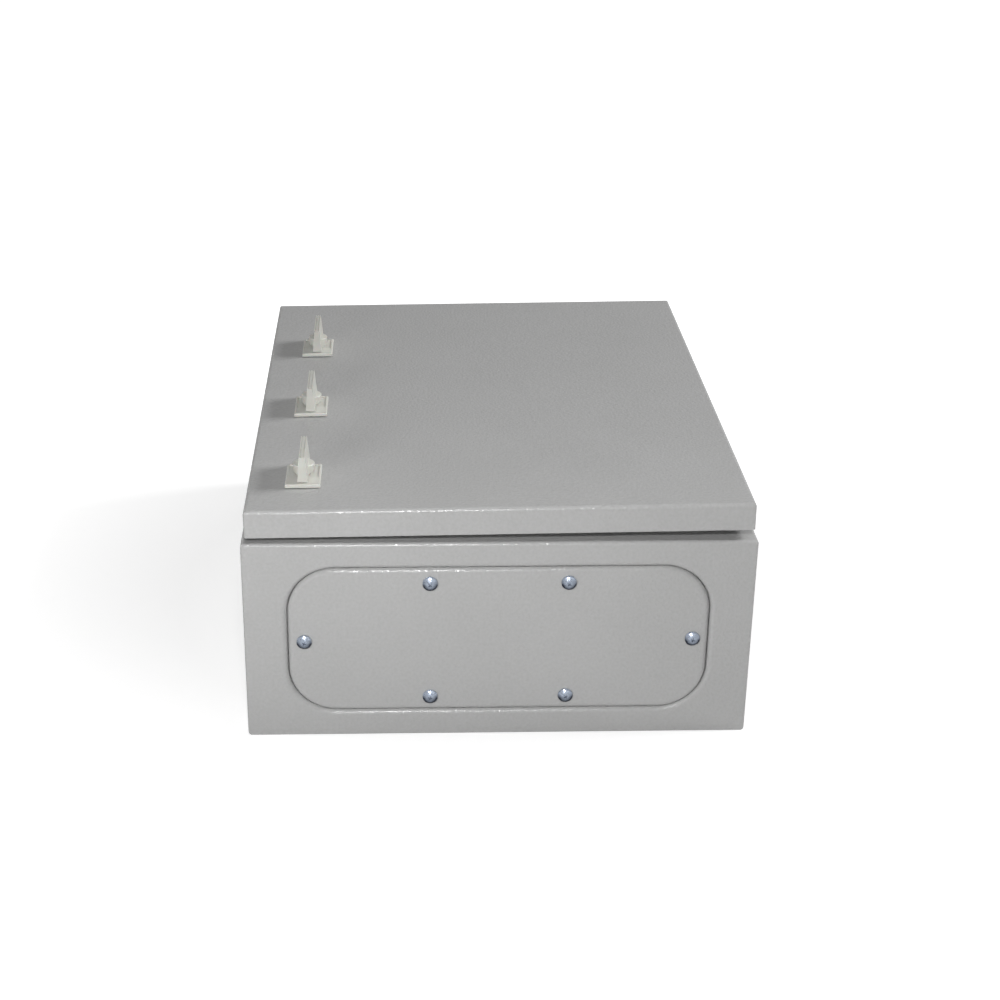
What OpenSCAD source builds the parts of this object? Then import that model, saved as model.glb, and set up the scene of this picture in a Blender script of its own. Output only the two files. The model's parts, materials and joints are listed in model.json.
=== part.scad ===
// Sheet-steel utility cabinet: folded door, concealed hinges, wing-knob latches and a flush gland plate.
// It lies on its wall face: X across the width, Y along the height, Z from the wall face out of the door.

/* [Cabinet] */
// Width across the side walls
cabinet_w = 400; // [360:10:700]
// Height from the bottom panel to the top panel
cabinet_h = 500; // [460:10:900]
// Depth of the body from the wall face to the front lip
body_d = 170; // [155:5:320]
// Thickness of the body and door sheet
sheet_t = 1.5; // [1.2:0.1:2]
// Outer radius of the folds
fold_r = 3; // [2.5:0.1:4]
// Radius ground on the welded corners
weld_r = 2; // [0.5:0.1:2.4]

/* [Front frame] */
// Width of the front lip from the outer face to the opening
lip_w = 26; // [25:0.5:34]
// Height of the rain edge above the lip
rain_edge_h = 16; // [12:0.5:17]
// Inside radius of the fold at the foot of the rain edge
rain_fold_r = 1.5; // [1:0.1:2.5]

/* [Wall fixing] */
// Distance of the wall-fixing holes from the outer faces
fixing_inset = 35; // [34:0.5:50]
// Diameter of the wall-fixing holes
fixing_d = 9; // [6:0.5:12]

/* [Gland plate] */
// Width of the gland plate
gland_w = 331; // [240:1:336]
// Height of the gland plate
gland_h = 126; // [105:1:135]
// Corner radius of the gland plate
gland_corner_r = 38; // [30:1:48]
// Sheet thickness of the gland plate
gland_t = 1.5; // [1:0.1:2]
// Outer radius of the turned-in edge of the gland plate
gland_fold_r = 4; // [2.2:0.1:4.5]
// Gap between the gland plate and the wall of its pressed seat
gland_gap = 0.5; // [0.3:0.1:3]
// Depth of the pressed seat
seat_depth = 6; // [5.6:0.1:8]
// Width of the pressed seat
seat_w = 24; // [21:0.5:28]
// Distance of the screws from the edge of the gland plate
gland_screw_inset = 12.5; // [11:0.5:14]
// Distance between the two screws of each long edge
gland_screw_pitch = 108; // [60:2:150]

/* [Door] */
// Depth of the folded door pan
door_d = 22; // [20:0.5:26]
// Setback of the door edges from the body faces
door_setback = 3; // [2:0.5:5]
// Gap between the lip and the door edge at the latch side
gap_latch = 4; // [3:0.5:7]
// Gap between the lip and the door edge at the hinge side
gap_hinge = 8; // [7:0.5:9]
// Width of the foam door gasket
gasket_w = 12; // [8:0.5:13]
// Gap between the door gasket and the rain edge
gasket_gap = 0.3; // [0.1:0.1:1]

/* [Hinges] */
// Distance from each end of the cabinet to the middle of its hinge
hinge_inset = 85; // [60:5:150]
// Height of the hinge pins above the front lip
pin_rise = 15; // [14:0.5:15.5]
// Diameter of the hinge pins
pin_d = 5; // [3:0.5:5.5]
// Outer diameter of the door knuckles
knuckle_d = 9; // [8:0.5:10]
// Length of each door knuckle
knuckle_l = 12; // [8:1:20]
// Thickness of the hinge leaf on the door
leaf_t = 1.5; // [1:0.1:2]
// Thickness of the hinge bracket on the lip
bracket_t = 2; // [1.5:0.1:2.4]
// Length of the hinge bracket
bracket_l = 30; // [20:1:50]

/* [Latches] */
// Distance of the latch axes from the side wall
latch_inset = 47; // [47:0.5:70]
// Distance of the upper latch from the top of the cabinet
latch_top_inset = 132; // [80:1:160]
// Distance of the lower latch from the bottom of the cabinet
latch_bottom_inset = 70; // [66:1:140]
// Width of the latch escutcheon
latch_w = 28; // [26:0.5:32]
// Length of the latch escutcheon
latch_l = 41; // [36:0.5:46]
// Distance of the latch axis from the middle of the escutcheon, towards the top of the cabinet
latch_shift = 4.5; // [0:0.5:5]
// Thickness of the latch escutcheon
latch_t = 3; // [2:0.1:4]
// Diameter of the latch barrel
barrel_d = 18; // [16:0.5:20]
// Length of the wing
wing_l = 45; // [30:0.5:50]
// Height of the wing
wing_h = 21; // [14:0.5:26]
// Width of the wing at its foot
wing_foot_w = 8.4; // [6:0.1:10]
// Width of the wing along its crest
wing_crest_w = 4.6; // [3.6:0.1:5.8]
// Diameter of the round hub under the wing
hub_d = 17.5; // [15:0.5:19]
// Reach of the cam from the latch axis
cam_reach = 34; // [30:0.5:36]
// Width of the cam
cam_w = 18; // [16:0.5:19]
// Thickness of the cam
cam_t = 3; // [2:0.1:4]

/* [Inside] */
// Distance of the mounting plate from the outer faces
mounting_margin = 30; // [29:0.5:45]
// Thickness of the mounting plate
mounting_t = 2; // [1.5:0.1:3]
// Depth of the folds along the mounting plate's sides
mounting_fold = 10; // [6:0.5:15]
// Cut across the mounting plate's corners, which bares the wall-fixing holes
mounting_cut = 40; // [35:1:60]
// Height of the spacers behind the mounting plate
spacer_h = 18; // [17:0.5:30]
// Distance of the mounting studs from the sides of the mounting plate
stud_side_inset = 25; // [20:1:60]
// Distance of the mounting studs from the ends of the mounting plate
stud_end_inset = 55; // [45:1:100]
// Diameter of the mounting and earth studs
stud_d = 8; // [6:0.5:8]
// Distance of the earth stud from the bottom of the cabinet
earth_inset = 65; // [50:1:140]
// Distance of the door's earth stud from the side of the front opening
door_earth_side = 26; // [16:1:60]
// Distance of the door's earth stud from the end of the front opening
door_earth_end = 29; // [16:1:80]

/* [Hidden] */
$fn = 64;

// Running gap all round in bores that turn or screw on their shaft
bore_clear = 0.05;
// Easy gap between parts that slide past or over each other
part_gap = 0.3;
// Overshoot of cutting tools past the faces they cut
over = 1;

// Door and hinge pin
door_w = cabinet_w - 2 * door_setback;
door_h = cabinet_h - 2 * door_setback;
door_z = body_d + gap_hinge;
door_top = door_z + door_d;
pin_setback = knuckle_d / 2 + leaf_t + sheet_t;
pin_x = door_w / 2 - pin_setback;
pin_z = body_d + pin_rise;
pin_r = pin_d / 2;
lean = asin((gap_hinge - gap_latch) / (pin_x + door_w / 2));
hinge_ys = [cabinet_h / 2 - hinge_inset, hinge_inset - cabinet_h / 2];

// Front frame
rain_bend_u = lip_w - sheet_t - rain_fold_r;
rain_top = body_d + rain_edge_h;
frame_w = cabinet_w - 2 * lip_w;
frame_h = cabinet_h - 2 * lip_w;

// Gland seat, measured at the wall of the recess
recess_w = gland_w + 2 * gland_gap;
recess_h = gland_h + 2 * gland_gap;
recess_r = gland_corner_r + gland_gap;
rim_r = 4;
seat_fold_r = 1;
gland_z = body_d / 2;
gland_edge_gap = 0.5;
gland_edge_d = seat_depth - gland_edge_gap;
gland_gasket_inset = gland_fold_r + gland_edge_gap;
gland_gasket_setback = 1;
gland_gasket_end = seat_w - gland_gap - gland_gasket_setback;
gland_row_z = gland_h / 2 - gland_screw_inset;
gland_end_x = gland_w / 2 - gland_screw_inset;
gland_spots = [
    for (side = [-1, 1], row = [-1, 1]) [side * gland_screw_pitch / 2, row * gland_row_z],
    for (side = [-1, 1]) [side * gland_end_x, 0]
];

// Metric fasteners
m6_r = 3;
m6_nut_af = 10;
m6_nut_h = 5;
m6_head_r = 6;
m6_head_h = 3.6;
hole_ease = 0.4;
nut_face_share = 0.95;
nut_cone_angle = 30;
stud_r = stud_d / 2;
stud_nut_af = 13;
stud_nut_h = 6.5;
washer_r = 8;
washer_t = 1.6;

// Latch levels, measured from the outer face of the door along the latch axis
latch_x = latch_inset - cabinet_w / 2;
latch_high_y = cabinet_h / 2 - latch_top_inset;
latch_low_y = latch_bottom_inset - cabinet_h / 2;
latch_ys = [latch_high_y, (latch_high_y + latch_low_y) / 2, latch_low_y];
latch_face_z = pin_z + (door_top - pin_z) * cos(lean) - (pin_x - latch_x) * sin(lean);
cam_clear = 0.8;
cam_top = body_d - sheet_t - cam_clear - latch_face_z;
barrel_end = cam_top + part_gap;
seal_t = 0.6;
seal_inset = 1;
head_top = seal_t + latch_t;
head_bevel = 0.8;
pocket_d = 1;
pocket_side = 2;
hub_ease = 2.2;
pocket_front = hub_d / 2 + hub_ease;
pocket_back = latch_l / 2 - latch_shift - pocket_side;
hub_foot = head_top - pocket_d + part_gap;
hub_h = 9;
hub_neck_w = 2;
hub_neck_h = 1.8;
hub_draft = 0.6;
hub_bevel = 0.6;
wing_gap = 0.8;
wing_foot = head_top + wing_gap;
spindle_r = 5;
tail_w = 8;
latch_nut_af = 24;
latch_nut_h = 6;
cam_screw_flange_r = 7;
cam_screw_flange_t = 1.5;
cam_screw_head_h = 4;
cam_screw_depth = 14;

// Wall fixing and mounting plate
fixing_w = cabinet_w - 2 * fixing_inset;
fixing_h = cabinet_h - 2 * fixing_inset;
mounting_w = cabinet_w - 2 * mounting_margin;
mounting_h = cabinet_h - 2 * mounting_margin;
stud_w = mounting_w - 2 * stud_side_inset;
stud_h = mounting_h - 2 * stud_end_inset;
mounting_z = sheet_t + spacer_h;
mounting_bend_r = 1;
mounting_fold_r = mounting_t + mounting_bend_r;
mounting_top = mounting_z + mounting_t;
stud_proud = 3;
stud_top = mounting_top + washer_t + stud_nut_h + stud_proud;
stud_spots = [for (x = [-1, 1], y = [-1, 1]) [x * stud_w / 2, y * stud_h / 2]];
earth_stud_l = 24;
earth_spot = [(cabinet_w - mounting_margin - sheet_t) / 2, earth_inset - cabinet_h / 2];
door_earth_r = 3;
door_earth_l = 20;
door_earth_spot = [frame_w / 2 - door_earth_side, door_earth_end - frame_h / 2];

paint = [0.72, 0.72, 0.71];
ivory = [0.80, 0.80, 0.77];
zinc = [0.78, 0.80, 0.83];
foam = [0.13, 0.13, 0.13];

// Flat shapes

// Quarter of a flat ring round the origin, quadrants counted anticlockwise from +X +Y
module quarter_ring(r_out, r_in, quadrant)
{
    rotate(90 * quadrant)
        intersection()
        {
            difference()
            {
                circle(r_out);
                circle(r_in);
            }
            square(r_out);
        }
}

module rounded_rect(w, h, r)
{
    square([w - 2 * r, h], center = true);
    square([w, h - 2 * r], center = true);
    for (x = [-1, 1], y = [-1, 1])
        translate([x * (w / 2 - r), y * (h / 2 - r)])
            circle(r);
}

// Rectangle standing on the X axis with its two upper corners rounded
module arch(w, d, r)
{
    translate([-w / 2, 0])
        square([w, d - r]);
    translate([r - w / 2, 0])
        square([w - 2 * r, d]);
    for (x = [-1, 1])
        translate([x * (w / 2 - r), d - r])
            circle(r);
}

// Trapezium standing on the X axis
module taper(foot, crest, d)
{
    polygon([[-foot / 2, 0], [foot / 2, 0], [crest / 2, d], [-crest / 2, d]]);
}

// Solid shapes

// Bar of a flat section, drawn in X and Z and run along Y
module run_y(length)
{
    rotate([90, 0, 0])
        linear_extrude(length, center = true)
            children();
}

// Bar of a flat section, drawn in Y and Z and run along X
module run_x(length)
{
    rotate([90, 0, 90])
        linear_extrude(length, center = true)
            children();
}

// Sweep of a flat section round a rounded rectangle, X of the section pointing outwards from the path
module rim_sweep(w, h, r)
{
    for (turn = [0, 180])
        rotate(turn)
        {
            run_y(h - 2 * r)
                translate([w / 2, 0])
                    children();
            rotate(90)
                run_y(w - 2 * r)
                    translate([h / 2, 0])
                        children();
            translate([w / 2 - r, h / 2 - r])
                rotate_extrude(angle = 90)
                    translate([r, 0])
                        children();
            translate([r - w / 2, h / 2 - r])
                rotate(90)
                    rotate_extrude(angle = 90)
                        translate([r, 0])
                            children();
        }
}

// Block whose four upper edges are folded over with the same radius
module pan_block(w, h, d, r)
{
    intersection()
    {
        run_y(h)
            arch(w, d, r);
        run_x(w)
            arch(h, d, r);
    }
}

// Hexagon whose corners are turned off to a cone at both ends
module hex_block(af, h)
{
    face_r = nut_face_share * af / 2;
    cone_r = af / sqrt(3) + over;
    cone_h = (cone_r - face_r) * tan(nut_cone_angle);
    intersection()
    {
        cylinder(h = h, r = af / sqrt(3), $fn = 6);
        rotate_extrude()
            polygon([[0, 0], [face_r, 0], [cone_r, cone_h], [cone_r, h - cone_h], [face_r, h], [0, h]]);
    }
}

module hex_nut(af, h, bore_r)
{
    difference()
    {
        hex_block(af, h);
        translate([0, 0, -over])
            cylinder(h = h + 2 * over, r = bore_r);
    }
}

module ring(h, r_out, r_in)
{
    difference()
    {
        cylinder(h = h, r = r_out);
        translate([0, 0, -over])
            cylinder(h = h + 2 * over, r = r_in);
    }
}

// Places

// Door pieces are drawn square to the body, then lean on the hinge pin towards the latch side
module on_door()
{
    translate([pin_x, 0, pin_z])
        rotate([0, -lean, 0])
            translate([-pin_x, 0, -pin_z])
                children();
}

module on_latch(index)
{
    on_door()
        translate([latch_x, latch_ys[index], door_top])
            children();
}

// Outer face of the bottom panel, with Z pointing out of the cabinet
module on_gland()
{
    translate([0, -cabinet_h / 2, gland_z])
        rotate([90, 0, 0])
            children();
}

// Body

// Wall, front fold, lip and rain edge as one folded strip, drawn from the outer face inwards
module edge_section(foot)
{
    translate([0, foot])
        square([sheet_t, body_d - fold_r - foot]);
    translate([fold_r, body_d - fold_r])
        quarter_ring(fold_r, fold_r - sheet_t, 1);
    translate([fold_r, body_d - sheet_t])
        square([rain_bend_u - fold_r, sheet_t]);
    translate([rain_bend_u, body_d + rain_fold_r])
        quarter_ring(rain_fold_r + sheet_t, rain_fold_r, 3);
    translate([lip_w - sheet_t, body_d + rain_fold_r])
        square([sheet_t, rain_edge_h - rain_fold_r]);
}

// Section of the wrap: the back with a bend and a folded edge on each side
module wrap_section()
{
    for (side = [0, 1])
        mirror([side, 0])
            translate([-cabinet_w / 2, 0])
            {
                edge_section(fold_r);
                translate([fold_r, fold_r])
                    quarter_ring(fold_r, fold_r - sheet_t, 2);
            }
    translate([fold_r - cabinet_w / 2, 0])
        square([cabinet_w - 2 * fold_r, sheet_t]);
}

// Space of the bottom end panel: its wall, and a mitre through the folds and lips above it
module end_zone()
{
    mitre = lip_w + over;
    translate([-cabinet_w / 2 - over, -cabinet_h / 2 - over, -over])
        cube([cabinet_w + 2 * over, sheet_t + over, body_d - fold_r + over]);
    translate([0, 0, body_d - fold_r])
        linear_extrude(fold_r + rain_edge_h + over)
            polygon([
                [-cabinet_w / 2 - over, -cabinet_h / 2 - over],
                [cabinet_w / 2 + over, -cabinet_h / 2 - over],
                [cabinet_w / 2 - mitre, mitre - cabinet_h / 2],
                [mitre - cabinet_w / 2, mitre - cabinet_h / 2]
            ]);
}

// Outline that the welded corners are ground to
module ground_corners()
{
    linear_extrude(rain_top)
        rounded_rect(cabinet_w, cabinet_h, weld_r);
}

module body_wrap()
{
    color(paint)
        difference()
        {
            intersection()
            {
                run_y(cabinet_h)
                    wrap_section();
                ground_corners();
            }
            end_zone();
            mirror([0, 1, 0])
                end_zone();
            for (x = [-1, 1], y = [-1, 1])
                translate([x * fixing_w / 2, y * fixing_h / 2, -over])
                    cylinder(h = sheet_t + 2 * over, d = fixing_d);
        }
}

// End panel at the bottom of the cabinet, with its back corners following the bends of the wrap
module end_panel()
{
    intersection()
    {
        translate([0, -cabinet_h / 2, 0])
            run_x(cabinet_w)
                edge_section(0);
        end_zone();
        ground_corners();
        run_y(cabinet_h + over)
            translate([0, rain_top])
                mirror([0, 1])
                    arch(cabinet_w, rain_top, fold_r);
    }
}

module top_panel()
{
    color(paint)
        mirror([0, 1, 0])
            end_panel();
}

// Joggle of the gland seat: rim bend, recess wall and foot bend, drawn outwards from the recess wall
module joggle_section()
{
    translate([rim_r, -rim_r])
        quarter_ring(rim_r, rim_r - sheet_t, 1);
    translate([0, seat_fold_r - seat_depth])
        square([sheet_t, seat_depth - seat_fold_r - rim_r]);
    translate([-seat_fold_r, seat_fold_r - seat_depth])
        quarter_ring(seat_fold_r + sheet_t, seat_fold_r, 3);
}

module bottom_panel()
{
    color(paint)
    {
        difference()
        {
            end_panel();
            on_gland()
                translate([0, 0, -sheet_t - over])
                    linear_extrude(sheet_t + 2 * over)
                        rounded_rect(recess_w + 2 * rim_r, recess_h + 2 * rim_r, recess_r + rim_r);
        }
        on_gland()
        {
            rim_sweep(recess_w, recess_h, recess_r)
                joggle_section();
            translate([0, 0, -seat_depth - sheet_t])
                linear_extrude(sheet_t)
                    difference()
                    {
                        rounded_rect(
                            recess_w - 2 * seat_fold_r,
                            recess_h - 2 * seat_fold_r,
                            recess_r - seat_fold_r
                        );
                        rounded_rect(recess_w - 2 * seat_w, recess_h - 2 * seat_w, recess_r - seat_w);
                        for (spot = gland_spots)
                            translate(spot)
                                circle(m6_r + hole_ease);
                    }
        }
    }
}

// Turned-in edge of the gland plate, drawn outwards from the edge of the plate
module gland_edge_section()
{
    translate([-gland_fold_r, -gland_fold_r])
        quarter_ring(gland_fold_r, gland_fold_r - gland_t, 0);
    translate([-gland_t, -gland_edge_d])
        square([gland_t, gland_edge_d - gland_fold_r]);
}

module gland_plate()
{
    color(paint)
        on_gland()
        {
            rim_sweep(gland_w, gland_h, gland_corner_r)
                gland_edge_section();
            translate([0, 0, -gland_t])
                linear_extrude(gland_t)
                    difference()
                    {
                        rounded_rect(
                            gland_w - 2 * gland_fold_r,
                            gland_h - 2 * gland_fold_r,
                            gland_corner_r - gland_fold_r
                        );
                        for (spot = gland_spots)
                            translate(spot)
                                circle(m6_r + hole_ease);
                    }
        }
}

module gland_gasket()
{
    outer = 2 * gland_gasket_inset;
    inner = 2 * gland_gasket_end;
    color(foam)
        on_gland()
            translate([0, 0, -seat_depth])
                linear_extrude(seat_depth - gland_t)
                    difference()
                    {
                        rounded_rect(gland_w - outer, gland_h - outer, gland_corner_r - outer / 2);
                        rounded_rect(gland_w - inner, gland_h - inner, gland_corner_r - inner / 2);
                        for (spot = gland_spots)
                            translate(spot)
                                circle(m6_r + hole_ease);
                    }
}

// Pan-head screw with its seat at Z = 0 and a cross recess in the crown of the head
module pan_screw(length)
{
    crown_r = 9;
    slot_w = 1.3;
    slot_l = 5.6;
    slot_d = 2;
    difference()
    {
        union()
        {
            intersection()
            {
                cylinder(h = m6_head_h, r = m6_head_r);
                translate([0, 0, m6_head_h - crown_r])
                    sphere(crown_r);
            }
            translate([0, 0, -length])
                cylinder(h = length + over, r = m6_r - bore_clear);
        }
        for (turn = [45, 135])
            rotate(turn)
                translate([-slot_l / 2, -slot_w / 2, m6_head_h - slot_d])
                    cube([slot_l, slot_w, slot_d + over]);
    }
}

module gland_screws()
{
    color(zinc)
        on_gland()
            for (spot = gland_spots)
                translate(spot)
                    pan_screw(seat_depth + sheet_t + m6_nut_h + over);
}

module gland_nuts()
{
    color(zinc)
        on_gland()
            for (spot = gland_spots)
                translate([spot[0], spot[1], -seat_depth - sheet_t - m6_nut_h])
                    hex_nut(m6_nut_af, m6_nut_h, m6_r);
}

// Mounting plate and studs

module mounting_plate()
{
    flat_w = mounting_w - 2 * mounting_fold_r;
    color(zinc)
        difference()
        {
            union()
            {
                translate([0, 0, mounting_z])
                    linear_extrude(mounting_t)
                        intersection()
                        {
                            square([flat_w, mounting_h], center = true);
                            rotate(45)
                                square((mounting_w + mounting_h - 2 * mounting_cut) / sqrt(2), center = true);
                        }
                run_y(mounting_h - 2 * mounting_cut)
                    for (side = [0, 1])
                        mirror([side, 0])
                        {
                            translate([mounting_w / 2 - mounting_fold_r, mounting_top - mounting_fold_r])
                                quarter_ring(mounting_fold_r, mounting_fold_r - mounting_t, 0);
                            translate([mounting_w / 2 - mounting_t, mounting_top - mounting_fold])
                                square([mounting_t, mounting_fold - mounting_fold_r]);
                        }
            }
            for (spot = stud_spots)
                translate([spot[0], spot[1], mounting_z - over])
                    cylinder(h = mounting_t + 2 * over, r = stud_r + hole_ease);
        }
}

module mounting_studs()
{
    color(zinc)
        for (spot = stud_spots)
            translate([spot[0], spot[1], sheet_t])
                cylinder(h = stud_top - sheet_t, r = stud_r - bore_clear);
}

module mounting_spacers()
{
    wall = 3;
    color(zinc)
        for (spot = stud_spots)
            translate([spot[0], spot[1], sheet_t])
                ring(spacer_h, stud_r + part_gap + wall, stud_r + part_gap);
}

module mounting_washers()
{
    color(zinc)
        for (spot = stud_spots)
            translate([spot[0], spot[1], mounting_top])
                ring(washer_t, washer_r, stud_r + part_gap);
}

module mounting_nuts()
{
    color(zinc)
        for (spot = stud_spots)
            translate([spot[0], spot[1], mounting_top + washer_t])
                hex_nut(stud_nut_af, stud_nut_h, stud_r);
}

module earth_stud()
{
    color(zinc)
        translate([earth_spot[0], earth_spot[1], sheet_t])
            cylinder(h = earth_stud_l, r = stud_r - bore_clear);
}

module earth_nut()
{
    color(zinc)
        translate([earth_spot[0], earth_spot[1], sheet_t])
            hex_nut(stud_nut_af, stud_nut_h, stud_r);
}

// Hinges

// Bracket on the lip: foot, riser beside the rain edge, and an arm that reaches out to the knuckle
module bracket_section()
{
    bend_in = 1;
    bend_r = bracket_t + bend_in;
    riser_gap = 0.2;
    riser_x = frame_w / 2 + sheet_t + riser_gap;
    knuckle_r = knuckle_d / 2 - part_gap;
    difference()
    {
        union()
        {
            translate([riser_x + bend_r, body_d])
                square([pin_x - riser_x - bend_r, bracket_t]);
            translate([riser_x + bend_r, body_d + bend_r])
                quarter_ring(bend_r, bend_r - bracket_t, 2);
            translate([riser_x, body_d + bend_r])
                square([bracket_t, pin_rise - 2 * bend_r]);
            translate([riser_x + bend_r, pin_z - bend_r])
                quarter_ring(bend_r, bend_r - bracket_t, 1);
            translate([riser_x + bend_r, pin_z - bracket_t])
                square([pin_x - riser_x - bend_r, bracket_t]);
            translate([pin_x, pin_z])
                circle(knuckle_r);
        }
        translate([pin_x, pin_z])
            circle(pin_r + bore_clear);
    }
}

module hinge_bracket(y)
{
    color(zinc)
        translate([0, y, 0])
            run_y(bracket_l)
                bracket_section();
}

module hinge_bracket_upper()
{
    hinge_bracket(hinge_ys[0]);
}

module hinge_bracket_lower()
{
    hinge_bracket(hinge_ys[1]);
}

// Leaf on the inside of the door edge, with a knuckle at each end of the bracket
module hinge_leaf(y)
{
    knuckle_r = knuckle_d / 2;
    leaf_top = door_top - fold_r - part_gap - pin_z;
    leaf_l = bracket_l + 2 * part_gap + 2 * knuckle_l;
    color(zinc)
        on_door()
            translate([pin_x, y, pin_z])
                difference()
                {
                    union()
                    {
                        run_y(leaf_l)
                            translate([knuckle_r, knuckle_r])
                                square([leaf_t, leaf_top - knuckle_r]);
                        for (end = [-1, 1])
                            translate([0, end * (leaf_l - knuckle_l) / 2, 0])
                                run_y(knuckle_l)
                                {
                                    circle(knuckle_r);
                                    translate([0, -knuckle_r])
                                        square([knuckle_r + leaf_t, 2 * knuckle_r]);
                                }
                    }
                    run_y(leaf_l + 2 * over)
                        circle(pin_r + bore_clear);
                }
}

module hinge_leaf_upper()
{
    hinge_leaf(hinge_ys[0]);
}

module hinge_leaf_lower()
{
    hinge_leaf(hinge_ys[1]);
}

module hinge_pin(y)
{
    pin_l = bracket_l + 2 * part_gap + 2 * knuckle_l;
    head_ledge = 1;
    head_r = pin_r + head_ledge;
    head_h = 1.5;
    color(zinc)
        translate([pin_x, y, pin_z])
        {
            run_y(pin_l)
                circle(pin_r);
            translate([0, (pin_l + head_h) / 2, 0])
                run_y(head_h)
                    circle(head_r);
        }
}

module hinge_pin_upper()
{
    hinge_pin(hinge_ys[0]);
}

module hinge_pin_lower()
{
    hinge_pin(hinge_ys[1]);
}

// Door

module door_panel()
{
    color(paint)
        on_door()
            difference()
            {
                translate([0, 0, door_z])
                    intersection()
                    {
                        pan_block(door_w, door_h, door_d, fold_r);
                        linear_extrude(door_d)
                            rounded_rect(door_w, door_h, weld_r);
                    }
                translate([0, 0, door_z - over])
                    pan_block(
                        door_w - 2 * sheet_t,
                        door_h - 2 * sheet_t,
                        door_d + over - sheet_t,
                        fold_r - sheet_t
                    );
                for (y = latch_ys)
                    translate([latch_x, y, door_top - sheet_t - over])
                        cylinder(h = sheet_t + 2 * over, d = barrel_d + 2 * part_gap);
            }
}

// Foam bead from the inside of the door down to the rain edge
module door_gasket()
{
    bead_w = frame_w + sheet_t + gasket_w;
    bead_h = frame_h + sheet_t + gasket_w;
    bead_r = gasket_w;
    color(foam)
        intersection()
        {
            translate([0, 0, rain_top + gasket_gap])
                linear_extrude(door_top - rain_top)
                    difference()
                    {
                        rounded_rect(bead_w, bead_h, bead_r);
                        rounded_rect(bead_w - 2 * gasket_w, bead_h - 2 * gasket_w, bead_r / 2);
                    }
            on_door()
                translate([-door_w / 2, -door_h / 2, door_z - door_d])
                    cube([door_w, door_h, 2 * door_d - sheet_t]);
        }
}

module door_earth_stud()
{
    color(zinc)
        on_door()
            translate([door_earth_spot[0], door_earth_spot[1], door_top - sheet_t - door_earth_l])
                cylinder(h = door_earth_l, r = door_earth_r - bore_clear);
}

module door_earth_nut()
{
    color(zinc)
        on_door()
            translate([door_earth_spot[0], door_earth_spot[1], door_top - sheet_t - m6_nut_h])
                hex_nut(m6_nut_af, m6_nut_h, door_earth_r);
}

// Latches

// Escutcheon with bevelled edges and a shallow pocket round the hub, and the barrel below it
module latch_housing(index)
{
    color(ivory)
        on_latch(index)
            difference()
            {
                union()
                {
                    translate([0, -latch_shift, seal_t])
                        linear_extrude(latch_t - head_bevel)
                            square([latch_w, latch_l], center = true);
                    translate([0, -latch_shift, head_top - head_bevel])
                        intersection()
                        {
                            run_y(latch_l)
                                taper(latch_w, latch_w - 2 * head_bevel, head_bevel);
                            run_x(latch_w)
                                taper(latch_l, latch_l - 2 * head_bevel, head_bevel);
                        }
                    translate([0, 0, barrel_end])
                        cylinder(h = seal_t + over - barrel_end, d = barrel_d);
                }
                translate([pocket_side - latch_w / 2, -pocket_front, head_top - pocket_d])
                    cube([latch_w - 2 * pocket_side, pocket_front + pocket_back, pocket_d + over]);
                translate([0, 0, barrel_end - over])
                    cylinder(h = head_top - barrel_end + 2 * over, r = spindle_r + bore_clear);
            }
}

module latch_seal(index)
{
    color(foam)
        on_latch(index)
            linear_extrude(seal_t)
                difference()
                {
                    translate([0, -latch_shift])
                        square([latch_w - 2 * seal_inset, latch_l - 2 * seal_inset], center = true);
                    circle(d = barrel_d + 2 * part_gap);
                }
}

module latch_nut(index)
{
    color(zinc)
        on_latch(index)
            translate([0, 0, -sheet_t - latch_nut_h])
                hex_nut(latch_nut_af, latch_nut_h, barrel_d / 2 + bore_clear);
}

// Wing, necked hub and spindle moulded as one knob, with flats at the end of the spindle for the cam
module latch_knob(index)
{
    groove_w = 0.8;
    groove_d = 0.6;
    groove_x = wing_crest_w / 4;
    end_draft = 1;
    hub_r = hub_d / 2;
    color(ivory)
        on_latch(index)
            difference()
            {
                union()
                {
                    translate([0, 0, wing_foot])
                        intersection()
                        {
                            run_y(wing_l)
                                taper(wing_foot_w, wing_crest_w, wing_h);
                            run_x(wing_foot_w)
                                taper(wing_l, wing_l - 2 * end_draft, wing_h);
                        }
                    translate([0, 0, hub_foot])
                        rotate_extrude()
                            polygon([
                                [0, 0],
                                [hub_r - hub_neck_w, 0],
                                [hub_r - hub_neck_w, hub_neck_h],
                                [hub_r - hub_draft, hub_neck_h],
                                [hub_r, hub_h - hub_bevel],
                                [hub_r - hub_bevel, hub_h],
                                [0, hub_h]
                            ]);
                    translate([0, 0, cam_top])
                        cylinder(h = hub_foot + over - cam_top, r = spindle_r);
                    translate([0, 0, cam_top - cam_t])
                        linear_extrude(cam_t + over)
                            intersection()
                            {
                                circle(spindle_r);
                                square(tail_w, center = true);
                            }
                }
                for (x = [-groove_x, groove_x])
                    translate([x - groove_w / 2, -wing_l / 2, wing_foot + wing_h - groove_d])
                        cube([groove_w, wing_l, groove_d + over]);
                translate([0, 0, cam_top - cam_t - over])
                    cylinder(h = cam_screw_depth + over, r = m6_r);
            }
}

// Flat cam with round ends, pointing down the door when the latch is open
module latch_cam(index)
{
    color(zinc)
        on_latch(index)
            translate([0, 0, cam_top - cam_t])
                linear_extrude(cam_t)
                    difference()
                    {
                        union()
                        {
                            circle(d = cam_w);
                            translate([0, cam_w / 2 - cam_reach])
                                circle(d = cam_w);
                            translate([-cam_w / 2, cam_w / 2 - cam_reach])
                                square([cam_w, cam_reach - cam_w / 2]);
                        }
                        square(tail_w + 2 * bore_clear, center = true);
                    }
}

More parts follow.
